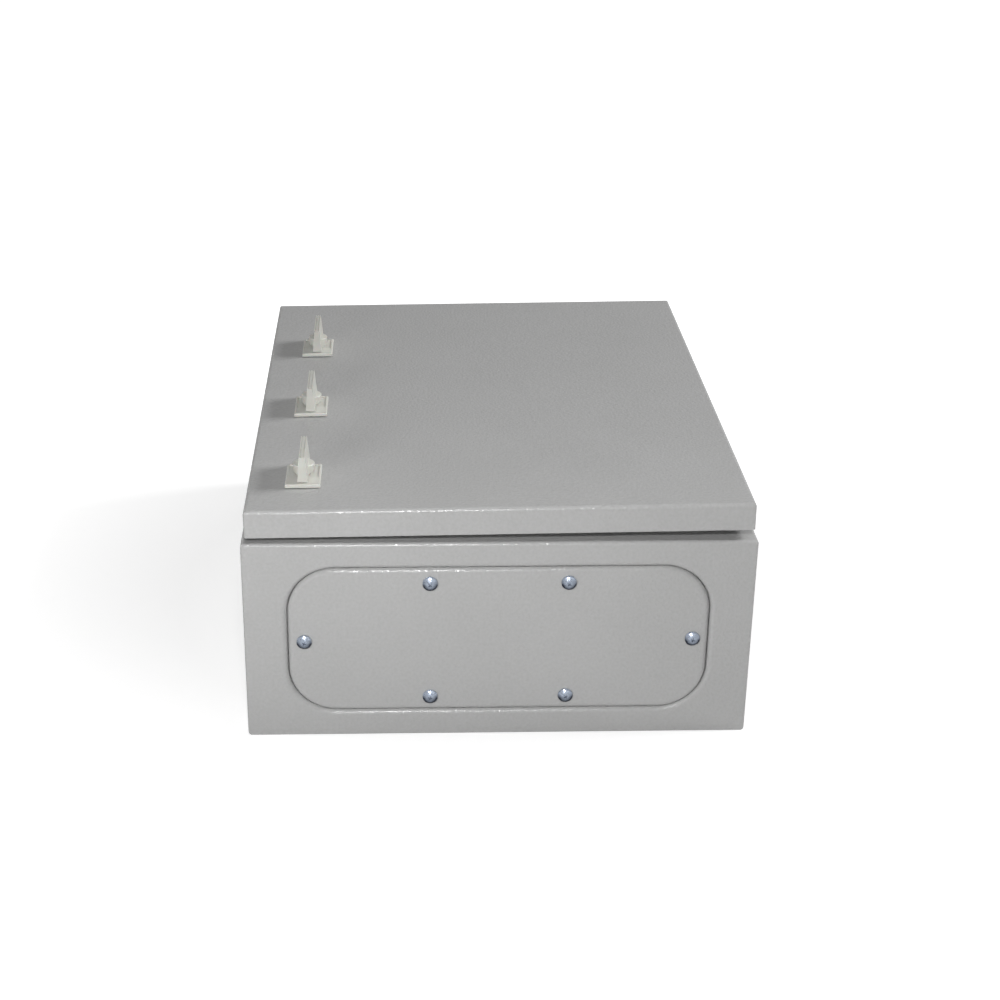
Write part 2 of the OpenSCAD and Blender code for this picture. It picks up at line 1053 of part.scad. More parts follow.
// Flanged screw that holds the cam on the spindle
module latch_screw(index)
{
    color(zinc)
        on_latch(index)
            translate([0, 0, cam_top - cam_t])
            {
                translate([0, 0, -cam_screw_flange_t])
                    cylinder(h = cam_screw_flange_t, r = cam_screw_flange_r);
                translate([0, 0, -cam_screw_flange_t - cam_screw_head_h])
                    hex_block(m6_nut_af, cam_screw_head_h + cam_screw_flange_t / 2);
                translate([0, 0, -over])
                    cylinder(h = cam_screw_depth - over, r = m6_r - bore_clear);
            }
}

body_wrap();
top_panel();
bottom_panel();
gland_plate();
gland_gasket();
gland_screws();
gland_nuts();
mounting_plate();
mounting_studs();
mounting_spacers();
mounting_washers();
mounting_nuts();
earth_stud();
earth_nut();
hinge_bracket_upper();
hinge_bracket_lower();
door_panel();
door_gasket();
hinge_leaf_upper();
hinge_leaf_lower();
hinge_pin_upper();
hinge_pin_lower();
door_earth_stud();
door_earth_nut();
latch_housing(0);  // latch_housing_1
latch_housing(1);  // latch_housing_2
latch_housing(2);  // latch_housing_3
latch_seal(0);  // latch_seal_1
latch_seal(1);  // latch_seal_2
latch_seal(2);  // latch_seal_3
latch_nut(0);  // latch_nut_1
latch_nut(1);  // latch_nut_2
latch_nut(2);  // latch_nut_3
latch_knob(0);  // latch_knob_1
latch_knob(1);  // latch_knob_2
latch_knob(2);  // latch_knob_3
latch_cam(0);  // latch_cam_1
latch_cam(1);  // latch_cam_2
latch_cam(2);  // latch_cam_3
latch_screw(0);  // latch_screw_1
latch_screw(1);  // latch_screw_2
latch_screw(2);  // latch_screw_3
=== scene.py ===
# %% [markdown]
# # A sheet-steel utility cabinet
# The cabinet is a folded and welded steel box in grey textured powder coat. It lies on its wall face with
# the door up, and the end with the flush gland plate faces the camera. Its construction comes packed as fixed
# solids. This lesson dresses those solids: it gives each one its finish, and makes the fasteners and foam
# seals that a plain solid can't show. Everything is in metres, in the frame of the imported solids.

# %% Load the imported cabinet
import json
import math

import bmesh
import bpy
from mathutils import Matrix, Vector


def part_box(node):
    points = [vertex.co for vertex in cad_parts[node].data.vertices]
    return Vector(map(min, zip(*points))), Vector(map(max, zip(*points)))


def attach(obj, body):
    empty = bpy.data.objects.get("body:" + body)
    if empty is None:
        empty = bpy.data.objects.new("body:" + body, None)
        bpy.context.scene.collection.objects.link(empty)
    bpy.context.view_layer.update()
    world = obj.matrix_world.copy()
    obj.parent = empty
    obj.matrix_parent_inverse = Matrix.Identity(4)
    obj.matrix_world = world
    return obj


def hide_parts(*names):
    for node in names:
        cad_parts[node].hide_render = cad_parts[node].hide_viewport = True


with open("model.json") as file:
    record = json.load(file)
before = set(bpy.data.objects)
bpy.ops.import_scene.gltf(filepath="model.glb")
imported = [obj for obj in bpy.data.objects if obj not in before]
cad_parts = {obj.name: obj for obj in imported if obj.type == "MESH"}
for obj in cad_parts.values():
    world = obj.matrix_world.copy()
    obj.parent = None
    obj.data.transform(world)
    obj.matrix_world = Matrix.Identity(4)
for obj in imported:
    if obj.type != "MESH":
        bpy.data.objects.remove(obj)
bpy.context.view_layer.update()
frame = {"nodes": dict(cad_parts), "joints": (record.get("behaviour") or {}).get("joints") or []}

MM = 0.001
nodes = frame["nodes"]
joints = {joint["name"]: joint for joint in frame["joints"]}

# %% [markdown]
# ## Helpers for node trees
# Materials and Geometry Nodes are both trees of nodes, so one helper can add a node to either. A value that
# is another node's socket becomes a link, and any other value is typed into the socket itself. That keeps
# each tree below about as long as the sentence that describes it.

# %% Nodes and sums
def add_node(tree, kind, inputs=None, **settings):
    """Adds a node with its settings, links the inputs that are sockets and types in the others."""
    node = tree.nodes.new(kind)
    for name, value in settings.items():
        setattr(node, name, value)
    for name, value in (inputs or {}).items():
        if isinstance(value, bpy.types.NodeSocket):
            tree.links.new(value, node.inputs[name])
        else:
            node.inputs[name].default_value = value
    return node


def combine(tree, operation, first, second):
    """One sum on two values, each a number or a socket."""
    return add_node(tree, "ShaderNodeMath", {0: first, 1: second}, operation=operation).outputs[0]


def add_share(tree, base, extra, share):
    """Adds a share of a second value to a first one."""
    return combine(tree, "ADD", base, combine(tree, "MULTIPLY", extra, share))


print("Helpers ready: nodes and sums")

# %% [markdown]
# ## Patterns for finishes
# Paint, plastic and plating all look alive for the same reason: their colour, gloss and height wander a
# little. Noise gives clouds and grain, and Voronoi cells give pits. Both read Object coordinates, so a
# pattern keeps its real size on every piece. Noise hardly ever leaves the middle of its range, so that middle
# is what gets stretched over a finish's own range.

# %% Patterns
NOISE_LOW, NOISE_HIGH = 0.3, 0.7


def start_finish(name, **constants):
    """A material with its shader's constants typed in, and the Object coordinates that its patterns read."""
    material = bpy.data.materials.new(name)
    material.use_nodes = True
    tree = material.node_tree
    shader = tree.nodes["Principled BSDF"]
    for socket, value in constants.items():
        shader.inputs[socket.replace("_", " ")].default_value = value
    place = add_node(tree, "ShaderNodeTexCoord").outputs["Object"]
    return material, tree, shader, place


def noise(tree, place, grain, detail):
    """Cloudy noise from 0 to 1, with lumps of about the given size."""
    inputs = {"Vector": place, "Scale": 1 / grain, "Detail": detail}
    return add_node(tree, "ShaderNodeTexNoise", inputs).outputs["Fac"]


def soft_cells(tree, place, size, softness):
    """Distance from the middles of cells of about the given size, with soft borders."""
    inputs = {"Vector": place, "Scale": 1 / size, "Smoothness": softness}
    return add_node(tree, "ShaderNodeTexVoronoi", inputs, feature="SMOOTH_F1").outputs["Distance"]


def spread(tree, value, low, high, low_out, high_out):
    """Stretches part of a value's range over another range."""
    inputs = {"Value": value, "From Min": low, "From Max": high, "To Min": low_out, "To Max": high_out}
    return add_node(tree, "ShaderNodeMapRange", inputs).outputs["Result"]


def stretch(tree, cloudy, low_out, high_out):
    """Stretches the middle of a noise's range over another range."""
    return spread(tree, cloudy, NOISE_LOW, NOISE_HIGH, low_out, high_out)


def blend_colours(tree, factor, low_colour, high_colour):
    """Goes from one colour to another as a value goes from 0 to 1."""
    ramp = add_node(tree, "ShaderNodeValToRGB", {"Fac": factor})
    ramp.color_ramp.elements[0].color = (*low_colour, 1)
    ramp.color_ramp.elements[1].color = (*high_colour, 1)
    return ramp.outputs["Color"]


def cover(tree, shader, colour, roughness):
    """Gives the shader its colour and its roughness."""
    tree.links.new(colour, shader.inputs["Base Color"])
    tree.links.new(roughness, shader.inputs["Roughness"])


def emboss(tree, shader, height, depth, strength):
    """Bumps the surface by a height pattern."""
    inputs = {"Height": height, "Distance": depth, "Strength": strength}
    bump = add_node(tree, "ShaderNodeBump", inputs)
    tree.links.new(bump.outputs["Normal"], shader.inputs["Normal"])


print("Helpers ready: noise, cells, ranges, colours and bump")

# %% [markdown]
# ## Textured powder coat
# The body, the door and the gland plate wear light grey powder coat with a fine orange-peel texture. Powder
# melts into soft pits a few millimetres apart, which break each highlight along a fold into sparks. Noise at
# the pits' size gives the waves, and squared Voronoi distances give round-bottomed pits without a sharp
# point. A picture of such a coat would repeat itself or show seams at the folds, and these patterns don't.
# The colour only drifts by a few hundredths: in broad clouds, as sprayed powder does, and along the
# waves, with painted shade that darkens their hollows.

# %% Powder coat
COAT_PIT = 2.5 * MM
COAT_GRAIN = 1.1 * MM
COAT_CLOUD = 90 * MM
COAT_DEPTH = 0.38 * MM
COAT_PIT_SOFTNESS = 0.6
COAT_PIT_SHARE, COAT_GRAIN_SHARE = 0.25, 0.08
COAT_CLOUD_DRIFT, COAT_PAINTED_HOLLOW_SHADE = 0.4, 0.6
COAT_DARK, COAT_LIGHT = (0.470, 0.470, 0.466), (0.520, 0.520, 0.518)
COAT_ROUGHNESS = (0.19, 0.25)


def make_powder_coat():
    material, tree, shader, place = start_finish("grey_powder_coat", IOR=1.5, Specular_IOR_Level=0.5)
    waves = noise(tree, place, COAT_PIT, detail=1.0)
    grain = noise(tree, place, COAT_GRAIN, detail=0.0)
    cloud = noise(tree, place, COAT_CLOUD, detail=3.0)
    pits = combine(tree, "POWER", soft_cells(tree, place, COAT_PIT, COAT_PIT_SOFTNESS), 2.0)
    relief = add_share(tree, waves, pits, COAT_PIT_SHARE)
    relief = add_share(tree, relief, grain, COAT_GRAIN_SHARE)
    broad_drift = stretch(tree, cloud, 0.0, COAT_CLOUD_DRIFT)
    # Painted shade: the colour is darker where the waves dip, in their hollows.
    painted_hollow_shade = stretch(tree, waves, 0.0, COAT_PAINTED_HOLLOW_SHADE)
    drift = combine(tree, "ADD", broad_drift, painted_hollow_shade)
    colour = blend_colours(tree, drift, COAT_DARK, COAT_LIGHT)
    cover(tree, shader, colour, stretch(tree, waves, *COAT_ROUGHNESS))
    emboss(tree, shader, relief, COAT_DEPTH, 1.0)
    return material


powder_coat = make_powder_coat()
print(f"Powder coat: pits {COAT_PIT / MM:.1f} mm apart, {COAT_DEPTH / MM:.2f} mm deep")

# %% [markdown]
# ## Ivory plastic
# The latches are moulded in a pale grey-ivory polymer with a satin, spark-eroded skin. A little light gets
# into such plastic, so it has a touch of subsurface scatter. The skin could be modelled, but at this size a
# very fine noise does it: too fine to see as dots, it takes the edge off the reflections.

# %% Moulded plastic
SKIN_GRAIN = 0.45 * MM
SKIN_DEPTH = 0.02 * MM
FLOW_CLOUD = 18 * MM
SCATTER_REACH = 1.5 * MM
IVORY_DARK, IVORY_LIGHT = (0.66, 0.66, 0.61), (0.71, 0.71, 0.665)
IVORY_ROUGHNESS = (0.36, 0.50)


def make_ivory_plastic():
    material, tree, shader, place = start_finish(
        "ivory_moulded_plastic", IOR=1.49, Subsurface_Weight=0.06, Subsurface_Scale=SCATTER_REACH
    )
    skin = noise(tree, place, SKIN_GRAIN, detail=1.0)
    flow = noise(tree, place, FLOW_CLOUD, detail=2.0)
    colour = blend_colours(tree, stretch(tree, flow, 0.0, 1.0), IVORY_DARK, IVORY_LIGHT)
    cover(tree, shader, colour, stretch(tree, skin, *IVORY_ROUGHNESS))
    emboss(tree, shader, skin, SKIN_DEPTH, 0.5)
    return material


ivory_plastic = make_ivory_plastic()
print(f"Ivory plastic: satin skin with a {SKIN_GRAIN / MM:.2f} mm grain")

# %% [markdown]
# ## Zinc plate
# Screws, nuts, studs and hinges are bright zinc plate: a bluish metal whose sheen clouds a little from part
# to part. One cloud pattern tints it, and a finer one scuffs its gloss, as handling does.

# %% Zinc plate
ZINC_CLOUD = 4 * MM
ZINC_SCUFF = 0.5 * MM
ZINC_SCUFF_DEPTH = 0.01 * MM
ZINC_DARK, ZINC_LIGHT = (0.42, 0.45, 0.51), (0.54, 0.57, 0.63)
ZINC_ROUGHNESS = (0.14, 0.26)


def make_zinc_plate():
    material, tree, shader, place = start_finish("bright_zinc_plate", Metallic=1.0)
    cloud = noise(tree, place, ZINC_CLOUD, detail=3.0)
    scuff = noise(tree, place, ZINC_SCUFF, detail=2.0)
    colour = blend_colours(tree, stretch(tree, cloud, 0.0, 1.0), ZINC_DARK, ZINC_LIGHT)
    cover(tree, shader, colour, stretch(tree, scuff, *ZINC_ROUGHNESS))
    emboss(tree, shader, scuff, ZINC_SCUFF_DEPTH, 0.3)
    return material


zinc_plate = make_zinc_plate()
print(f"Zinc plate: clouds of {ZINC_CLOUD / MM:.0f} mm, scuffs of {ZINC_SCUFF / MM:.1f} mm")

# %% [markdown]
# ## Galvanised sheet
# The mounting plate is hot-dip galvanised, and its zinc froze into flat crystals, the spangle. Voronoi cells
# are just such crystals: each gets its own grey and its own roughness, with fine veins across it.

# %% Galvanised sheet
SPANGLE = 14 * MM
VEIN = 2.5 * MM
VEIN_DEPTH = 0.02 * MM
VEIN_SHARE = 0.25
SPANGLE_DARK, SPANGLE_LIGHT = (0.42, 0.44, 0.45), (0.62, 0.64, 0.65)
SPANGLE_ROUGHNESS = (0.34, 0.52)


def make_galvanised_sheet():
    material, tree, shader, place = start_finish("galvanised_spangle", Metallic=1.0)
    crystals = add_node(tree, "ShaderNodeTexVoronoi", {"Vector": place, "Scale": 1 / SPANGLE})
    shade = add_node(tree, "ShaderNodeSeparateColor", {"Color": crystals.outputs["Color"]}).outputs[0]
    veins = noise(tree, place, VEIN, detail=3.0)
    tone = add_share(tree, combine(tree, "MULTIPLY", shade, 1 - VEIN_SHARE), veins, VEIN_SHARE)
    colour = blend_colours(tree, tone, SPANGLE_DARK, SPANGLE_LIGHT)
    cover(tree, shader, colour, spread(tree, tone, 0.0, 1.0, *SPANGLE_ROUGHNESS))
    emboss(tree, shader, veins, VEIN_DEPTH, 0.25)
    return material


galvanised_sheet = make_galvanised_sheet()
print(f"Galvanised sheet: spangle of {SPANGLE / MM:.0f} mm")

# %% [markdown]
# ## Foam and rubber
# The door seal is polyurethane foam that is poured as a bead and sets with a dull, dimpled skin. The flat
# seals under the latches are black rubber. Both are nearly black, so their shape only reads through the bump
# of the skin and a sheen that changes with the dust on it. One function makes both, at two sizes of dimple.

# %% Foam and rubber
FOAM_CELL, FOAM_DEPTH = 1.3 * MM, 0.25 * MM
FOAM_ROUGHNESS = (0.75, 0.92)
RUBBER_CELL, RUBBER_DEPTH = 0.35 * MM, 0.03 * MM
RUBBER_ROUGHNESS = (0.5, 0.65)
DIMPLE_SOFTNESS = 0.4
CELLS_PER_DUST = 12
SOFT_BLACK, SOFT_DUSTY = (0.017, 0.017, 0.018), (0.034, 0.034, 0.035)


def make_soft_black(name, cell, depth, roughness):
    material, tree, shader, place = start_finish(name, Specular_IOR_Level=0.3)
    dimples = soft_cells(tree, place, cell, DIMPLE_SOFTNESS)
    dust = noise(tree, place, CELLS_PER_DUST * cell, detail=3.0)
    colour = blend_colours(tree, stretch(tree, dust, 0.0, 1.0), SOFT_BLACK, SOFT_DUSTY)
    cover(tree, shader, colour, stretch(tree, dust, *roughness))
    emboss(tree, shader, dimples, depth, 0.7)
    return material


black_foam = make_soft_black("black_poured_foam", FOAM_CELL, FOAM_DEPTH, FOAM_ROUGHNESS)
black_rubber = make_soft_black("black_seal_rubber", RUBBER_CELL, RUBBER_DEPTH, RUBBER_ROUGHNESS)
print("Soft blacks: poured foam and seal rubber")

# %% [markdown]
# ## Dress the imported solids
# Each solid is one piece of the real cabinet, so one finish covers it. The pieces fall into families by name,
# and the first family whose name fits gives the finish. Zinc plate is last, because every small steel piece
# has it.

# %% Finishes of the solids
FAMILIES = [
    (("body_wrap", "top_panel", "bottom_panel", "gland_plate", "door_panel"), powder_coat),
    (("latch_housing", "latch_knob"), ivory_plastic),
    (("mounting_plate",), galvanised_sheet),
    (("latch_seal",), black_rubber),
    (("door_gasket", "gland_gasket"), black_foam),
    (("",), zinc_plate),
]

for name, node in nodes.items():
    finish = next(material for starts, material in FAMILIES if name.startswith(starts))
    node.data.materials.clear()
    node.data.materials.append(finish)
print(f"{len(nodes)} solids dressed")

# %% [markdown]
# ## Soft edges on the moulded and cut pieces
# A solid's edge is perfectly sharp, and a moulded or stamped one never is: its tiny round catches a line of
# light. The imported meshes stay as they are, so modifiers do it. Weld joins the loose triangles, Decimate
# merges the flat ones back into whole faces, and Bevel then rounds the edges that are left.

# %% Edge rounds
EDGE_ROUNDS_MM = {
    "latch_knob": 0.35, "latch_housing": 0.3, "latch_cam": 0.25, "latch_screw": 0.2,
    "hinge_leaf": 0.2, "hinge_bracket": 0.2, "hinge_pin": 0.2,
    "mounting_plate": 0.3, "mounting_washers": 0.2, "mounting_spacers": 0.2,
}
WELD_REACH = 0.005 * MM
FLAT_WITHIN = math.radians(0.5)
SHARP_FROM = math.radians(35)
ROUND_STEPS = 3


def round_edges(node, radius):
    weld = node.modifiers.new("join_triangles", "WELD")
    weld.merge_threshold = WELD_REACH
    flats = node.modifiers.new("whole_faces", "DECIMATE")
    flats.decimate_type = "DISSOLVE"
    flats.angle_limit = FLAT_WITHIN
    bevel = node.modifiers.new("edge_round", "BEVEL")
    bevel.width = radius
    bevel.segments = ROUND_STEPS
    bevel.limit_method = "ANGLE"
    bevel.angle_limit = SHARP_FROM


rounded = []
for name, node in nodes.items():
    for start, radius_mm in EDGE_ROUNDS_MM.items():
        if name.startswith(start):
            round_edges(node, radius_mm * MM)
            rounded.append(name)
print(f"Edges rounded on {len(rounded)} solids")

# %% [markdown]
# ## From a node tree to a plain piece
# Geometry Nodes suit what repeats or follows a path: fasteners on their spots and foam along its track. The
# helpers below run a tree once on a small base mesh and keep only the resulting mesh, because a finished
# piece has to be plain geometry that rides on its body. Inputs are set by their identifiers before anything
# is evaluated.

# %% Helpers for grown pieces
def start_tree(name, inputs):
    """A Geometry Nodes tree with named inputs, and the sockets that bring them in."""
    tree = bpy.data.node_groups.new(name, "GeometryNodeTree")
    tree.interface.new_socket("Base", in_out="INPUT", socket_type="NodeSocketGeometry")
    for label, kind in inputs:
        tree.interface.new_socket(label, in_out="INPUT", socket_type=f"NodeSocket{kind}")
    tree.interface.new_socket("Piece", in_out="OUTPUT", socket_type="NodeSocketGeometry")
    return tree, tree.nodes.new("NodeGroupInput").outputs


def end_tree(tree, geometry, finish):
    """Ends a tree in real geometry with its finish set."""
    real = add_node(tree, "GeometryNodeRealizeInstances", {"Geometry": geometry}).outputs[0]
    painted = add_node(tree, "GeometryNodeSetMaterial", {"Geometry": real, "Material": finish}).outputs[0]
    add_node(tree, "NodeGroupOutput", {"Piece": painted})


def points_mesh(name, points):
    """A mesh of loose points, for a tree to start from."""
    mesh = bpy.data.meshes.new(name)
    mesh.from_pydata(points, [], [])
    return mesh


def grow(name, tree, base, values, place=Matrix.Identity(4)):
    """Runs a tree on a base mesh and returns the result as one plain mesh object, set in place."""
    seed = bpy.data.objects.new(name + "_seed", base)
    modifier = seed.modifiers.new("tree", "NODES")
    modifier.node_group = tree
    sockets = [item for item in tree.interface.items_tree if item.in_out == "INPUT"]
    identifiers = {socket.name: socket.identifier for socket in sockets}
    for label, value in values.items():
        modifier[identifiers[label]] = value
    bpy.context.scene.collection.objects.link(seed)
    evaluated = seed.evaluated_get(bpy.context.evaluated_depsgraph_get())
    mesh = bpy.data.meshes.new_from_object(evaluated)
    seed.modifiers.remove(modifier)
    bpy.data.objects.remove(seed)
    mesh.transform(place)
    piece = bpy.data.objects.new(name, mesh)
    bpy.context.scene.collection.objects.link(piece)
    return piece


def keep(piece, body, slot, *stands_for):
    """The piece rides on a body and stands for solids, which it hides; the slot is not used."""
    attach(piece, body)
    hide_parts(*stands_for)
    print(f"{piece.name}: {len(piece.data.polygons)} faces on {body}, for {', '.join(stands_for)}")


print("Helpers ready: start, end and grow a tree, keep its piece")

# %% [markdown]
# ## A pan-head screw
# The gland plate is held by zinc-plated pan-head screws. Their domed heads are the brightest things on the
# cabinet, so the dome has to be smooth and the cross recess real. A lathe profile, spun by hand in bmesh,
# gives the head: a flat seat, a small round at the rim and a crown on a larger circle.

# %% Head on the lathe
SCREW_R = 3 * MM
HEAD_R = 6 * MM
HEAD_H = 3.6 * MM
HEAD_CROWN_R = 9 * MM
HEAD_EDGE = 0.5 * MM
HEAD_SHOULDER = 0.2 * MM
CROWN_START = 0.03
RIM_STEPS = 4
CROWN_STEPS = 12
LATHE_STEPS = 48


def lathe(name, profile, steps=LATHE_STEPS):
    """Spins a profile of (radius, height) points, from pole to pole, into a closed mesh round Z."""
    shape = bmesh.new()
    turns = [2 * math.pi * step / steps for step in range(steps)]
    rings = []
    for radius, height in profile:
        if radius == 0:
            rings.append([shape.verts.new((0, 0, height))] * steps)
            continue
        ring = [(radius * math.cos(turn), radius * math.sin(turn), height) for turn in turns]
        rings.append([shape.verts.new(point) for point in ring])
    for lower, upper in zip(rings, rings[1:]):
        for step in range(steps):
            following = (step + 1) % steps
            corners = dict.fromkeys([lower[step], lower[following], upper[following], upper[step]])
            shape.faces.new(list(corners)).smooth = True
    bmesh.ops.recalc_face_normals(shape, faces=shape.faces)
    mesh = bpy.data.meshes.new(name)
    shape.to_mesh(mesh)
    shape.free()
    return mesh


def head_profile():
    """Flat seat, rounded rim and domed crown of the head, from the seat's middle to the crown's."""
    crown_middle = HEAD_H - HEAD_CROWN_R
    rim_height = crown_middle + math.sqrt(HEAD_CROWN_R**2 - HEAD_R**2)
    profile = [(0, 0), (HEAD_R - HEAD_EDGE, 0)]
    for step in range(1, RIM_STEPS + 1):
        turn = math.pi / 2 * step / RIM_STEPS
        reach = HEAD_R - HEAD_EDGE + HEAD_EDGE * math.sin(turn)
        profile.append((reach, HEAD_EDGE - HEAD_EDGE * math.cos(turn)))
    profile.append((HEAD_R, rim_height - HEAD_SHOULDER))
    crown_angle = math.asin(HEAD_R / HEAD_CROWN_R)
    for step in range(CROWN_STEPS):
        turn = crown_angle * (1 - step / CROWN_STEPS) - CROWN_START
        profile.append((HEAD_CROWN_R * math.sin(turn), crown_middle + HEAD_CROWN_R * math.cos(turn)))
    return profile + [(0, HEAD_H)]


screw_head = bpy.data.objects.new("screw_head", lathe("screw_head", head_profile()))
bpy.context.scene.collection.objects.link(screw_head)
print(f"Screw head: {2 * HEAD_R / MM:.0f} mm across, {HEAD_H / MM:.1f} mm high")

# %% [markdown]
# ## The cross recess
# A driver's recess is punched: two crossed slots that narrow towards the bottom. Modelling it face by face on
# a dome is slow, so two crossed wedges are taken away by a boolean. The wedges overlap each other, which the
# exact solver handles when it is told so.

# %% Recess
RECESS_DEPTH = 0.9 * MM
RECESS_SPAN = 4.8 * MM
RECESS_WEB = 1.0 * MM
RECESS_TAPER = 0.55
CUTTER_RISE = 1 * MM


def cross_cutter(name):
    """Two crossed wedges that narrow towards the bottom of the recess."""
    shape = bmesh.new()
    top = HEAD_H + CUTTER_RISE
    bottom = HEAD_H - RECESS_DEPTH
    for turn in (0, math.pi / 2):
        wedge = bmesh.ops.create_cube(shape, size=1)["verts"]
        for corner in wedge:
            is_deep = corner.co.z < 0
            span = RECESS_SPAN * RECESS_TAPER if is_deep else RECESS_SPAN
            height = bottom if is_deep else top
            corner.co = (corner.co.x * span, corner.co.y * RECESS_WEB, height)
        bmesh.ops.rotate(shape, verts=wedge, matrix=Matrix.Rotation(turn, 3, "Z"))
    mesh = bpy.data.meshes.new(name)
    shape.to_mesh(mesh)
    shape.free()
    return bpy.data.objects.new(name, mesh)


def sink_recess(head):
    cutter = cross_cutter("cross_recess")
    bpy.context.scene.collection.objects.link(cutter)
    cut = head.modifiers.new("recess", "BOOLEAN")
    cut.object = cutter
    cut.solver = "EXACT"
    cut.use_self = True
    evaluated = head.evaluated_get(bpy.context.evaluated_depsgraph_get())
    mesh = bpy.data.meshes.new_from_object(evaluated)
    head.modifiers.remove(cut)
    head.data = mesh
    bpy.data.objects.remove(cutter)


sink_recess(screw_head)
print(f"Recess: {RECESS_DEPTH / MM:.1f} mm deep, {len(screw_head.data.polygons)} faces on the head")

# %% [markdown]
# ## Threaded fasteners
# Screws and studs are rolled with a thread, so one tree makes them all: a core, a spiral ridge along it and,
# where there is one, a head on top. The tree sets a copy on every point, gives each its own turn from a fixed
# seed, as a fitter leaves them, and tips them to their axis.

# %% Fastener tree
RIDGE_SIDES = 3
RIDGE_SHARE = 0.5
TURN_STEPS = 24


def lower_by(tree, geometry, length, share):
    """Moves geometry down by a share of a length."""
    drop = combine(tree, "MULTIPLY", length, -share)
    offset = add_node(tree, "ShaderNodeCombineXYZ", {"Z": drop}).outputs[0]
    return add_node(tree, "GeometryNodeTransform", {"Geometry": geometry, "Translation": offset}).outputs[0]


def make_fastener_tree():
    tree, given = start_tree("threaded_fasteners", [
        ("Head", "Object"), ("Radius", "Float"), ("Pitch", "Float"), ("Length", "Float"),
        ("Tip", "Vector"), ("Seed", "Int"), ("Finish", "Material"),
    ])
    ridge_r = combine(tree, "MULTIPLY", given["Pitch"], RIDGE_SHARE)
    path_r = combine(tree, "SUBTRACT", given["Radius"], ridge_r)
    turns = combine(tree, "DIVIDE", given["Length"], given["Pitch"])
    spiral = add_node(tree, "GeometryNodeCurveSpiral", {
        "Resolution": TURN_STEPS, "Rotations": turns, "Start Radius": path_r, "End Radius": path_r,
        "Height": given["Length"],
    }).outputs[0]
    section = add_node(tree, "GeometryNodeCurvePrimitiveCircle", {
        "Resolution": RIDGE_SIDES, "Radius": ridge_r,
    }).outputs[0]
    ridge = add_node(tree, "GeometryNodeCurveToMesh", {
        "Curve": spiral, "Profile Curve": section, "Fill Caps": True,
    }).outputs[0]
    ridge = lower_by(tree, ridge, given["Length"], 1.0)
    core = add_node(tree, "GeometryNodeMeshCylinder", {
        "Vertices": TURN_STEPS, "Radius": path_r, "Depth": given["Length"],
    }).outputs["Mesh"]
    core = lower_by(tree, core, given["Length"], 0.5)
    head = add_node(tree, "GeometryNodeObjectInfo", {"Object": given["Head"]}).outputs["Geometry"]
    whole = tree.nodes.new("GeometryNodeJoinGeometry")
    for part in (ridge, core, head):
        tree.links.new(part, whole.inputs[0])
    placed = add_node(tree, "GeometryNodeInstanceOnPoints", {
        "Points": given["Base"], "Instance": whole.outputs[0], "Rotation": given["Tip"],
    }).outputs[0]
    largest = 3
    turn = add_node(tree, "FunctionNodeRandomValue", {
        largest: 2 * math.pi, "Seed": given["Seed"],
    }, data_type="FLOAT").outputs[1]
    spin = add_node(tree, "ShaderNodeCombineXYZ", {"Z": turn}).outputs[0]
    turned = add_node(tree, "GeometryNodeRotateInstances", {
        "Instances": placed, "Rotation": spin, "Local Space": True,
    }).outputs[0]
    end_tree(tree, turned, given["Finish"])
    return tree


fastener_tree = make_fastener_tree()
print("Tree ready:", fastener_tree.name)

# %% [markdown]
# ## Finish of the gland screws
# The screw heads are bright zinc, with painted shade and a painted dark reflection in their colour: it is
# darkest down at the rim, most of all on the lower side of each head, and fades to plain zinc at the crown.
# The finish reads the height above the plate from the Object coordinates, and the lower side of each head
# from an attribute that is written on the finished mesh.

# %% Screw finish
LOW_SIDE = "low_side"
LOW_SIDE_RANGE = (-0.5, 0.2)
RIM_LEVEL = 0.7 * MM
RIM_DARK, RIM_CLEAR = 1.5 * MM, 3.0 * MM
CROWN_PAINTED_SHADE = 0.15
SCREW_CLOUD = 1.5 * MM
SCREW_CLOUD_SHARE = 0.1
SCREW_CLOUD_DEPTH = 0.02 * MM
SCREW_BRIGHT, SCREW_PAINTED_SHADE = (0.55, 0.62, 0.74), (0.045, 0.052, 0.07)
SCREW_ROUGHNESS = (0.24, 0.36)


def make_screw_zinc(seat_y):
    material, tree, shader, place = start_finish("screw_zinc_painted_shade", Metallic=1.0)
    along = add_node(tree, "ShaderNodeSeparateXYZ", {"Vector": place}).outputs["Y"]
    from_rim = combine(tree, "ABSOLUTE", combine(tree, "SUBTRACT", along, seat_y - RIM_LEVEL), 0.0)
    cloud = noise(tree, place, SCREW_CLOUD, detail=3.0)
    low_side = add_node(tree, "ShaderNodeAttribute", attribute_name=LOW_SIDE).outputs["Fac"]
    # Painted shade and painted dark reflection: darkest at the rim and on the lower side of each head.
    rim = spread(tree, from_rim, RIM_DARK, RIM_CLEAR, 1.0, CROWN_PAINTED_SHADE)
    painted_shade = combine(tree, "MULTIPLY", rim, spread(tree, low_side, *LOW_SIDE_RANGE, 0.0, 1.0))
    painted_shade = combine(tree, "ADD", painted_shade, stretch(tree, cloud, -SCREW_CLOUD_SHARE, SCREW_CLOUD_SHARE))
    colour = blend_colours(tree, painted_shade, SCREW_BRIGHT, SCREW_PAINTED_SHADE)
    cover(tree, shader, colour, stretch(tree, cloud, *SCREW_ROUGHNESS))
    emboss(tree, shader, cloud, SCREW_CLOUD_DEPTH, 0.3)
    return material


# The low side steers the painted shade and dark reflection on the screw heads.
def mark_low_side(mesh, middles):
    """Writes on each vertex how far it lies below the middle of its own screw, in head radiuses."""
    low_side = mesh.attributes.new(LOW_SIDE, "FLOAT", "POINT")
    for vertex, mark in zip(mesh.vertices, low_side.data):
        x, z = vertex.co.x, vertex.co.z
        near = min(middles, key=lambda middle: math.hypot(middle[0] - x, middle[2] - z))
        mark.value = (near[2] - z) / HEAD_R


print(f"Screw finish: dark up to {(RIM_LEVEL + RIM_DARK) / MM:.1f} mm above the plate")

